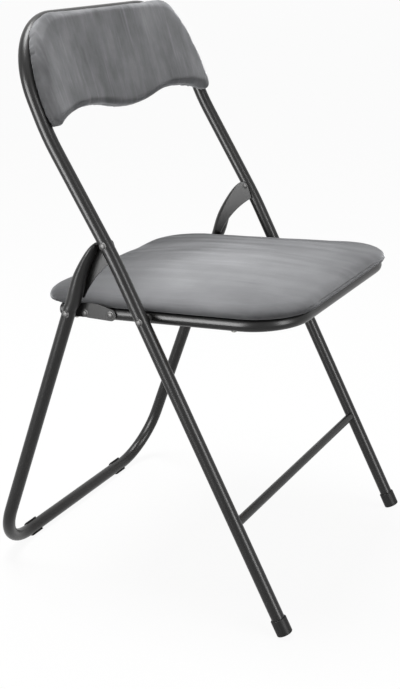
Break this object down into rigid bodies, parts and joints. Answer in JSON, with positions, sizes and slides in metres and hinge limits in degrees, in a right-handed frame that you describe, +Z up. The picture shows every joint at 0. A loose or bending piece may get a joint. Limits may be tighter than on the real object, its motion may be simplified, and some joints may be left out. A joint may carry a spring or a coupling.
{
  "type": "velvet folding chair",
  "caption": "Steel tube folding chair with a velvet padded seat and bowed backrest, pivoting rear legs, side links and plastic feet",
  "frame": {"origin": "on the floor, in the middle of the chair's width and of its depth when open", "axes": "plus X is the sitter's left, minus Y is the front of the seat, plus Z is up"},
  "size_m": [0.4448, 0.473, 0.768],
  "materials": {
    "frame_paint": "dark charcoal semi-gloss powder coat",
    "rivet_metal": "dark coated steel, a little lighter on the heads",
    "black_plastic": "black moulded plastic, slightly worn below",
    "velvet": "mid grey short pile velvet over foam",
    "plywood": "raw plywood",
    "zinc_screw": "zinc plated"
  },
  "bodies": {
    "front_frame": {"front_frame_tube": "frame_paint", "front_cross_brace": "frame_paint", "backrest_panel": "frame_paint", "backrest_cushion": "velvet", "foot_cap_left": "black_plastic", "back_pivot_rivet_left": "rivet_metal", "seat_pivot_rivet_left": "rivet_metal", "seat_spacer_left": "rivet_metal", "foot_cap_right": "black_plastic", "back_pivot_rivet_right": "rivet_metal", "seat_pivot_rivet_right": "rivet_metal", "seat_spacer_right": "rivet_metal"},
    "seat": {"seat_rail_tube": "frame_paint", "seat_board": "plywood", "seat_cushion": "velvet", "rail_plug_left": "black_plastic", "link_pin_left": "rivet_metal", "stop_pin_left": "rivet_metal", "seat_screw_front_left": "zinc_screw", "seat_screw_rear_left": "zinc_screw", "rail_plug_right": "black_plastic", "link_pin_right": "rivet_metal", "stop_pin_right": "rivet_metal", "seat_screw_front_right": "zinc_screw", "seat_screw_rear_right": "zinc_screw"},
    "rear_frame": {"rear_frame_tube": "frame_paint", "floor_clip_left": "black_plastic", "link_rivet_left": "rivet_metal", "floor_clip_right": "black_plastic", "link_rivet_right": "rivet_metal"},
    "link_left": {"link_left": "frame_paint", "link_end_left": "rivet_metal"},
    "link_right": {"link_right": "frame_paint", "link_end_right": "rivet_metal"}
  },
  "joints": [
    {"name": "seat_fold", "type": "hinge", "parent": "front_frame", "child": "seat", "pos_m": [0, -0.01997, 0.39922], "axis": [-1, 0, 0], "range_deg": [0, 113.1]},
    {"name": "rear_frame_fold", "type": "hinge", "parent": "front_frame", "child": "rear_frame", "pos_m": [0, 0.03091, 0.49264], "axis": [-1, 0, 0], "range_deg": [0, 47.21]},
    {"name": "link_left_swing", "type": "hinge", "parent": "seat", "child": "link_left", "pos_m": [0.1969, 0.03444, 0.39571], "axis": [1, 0, 0], "range_deg": [0, 151]},
    {"name": "link_right_swing", "type": "hinge", "parent": "seat", "child": "link_right", "pos_m": [-0.1969, 0.03444, 0.39571], "axis": [1, 0, 0], "range_deg": [0, 151]}
  ],
  "couplings": [
    {"joint": "rear_frame_fold", "follows": "seat_fold", "ratio": 0.41734},
    {"joint": "link_left_swing", "follows": "seat_fold", "ratio": 1.3346},
    {"joint": "link_right_swing", "follows": "seat_fold", "ratio": 1.3346}
  ]
}
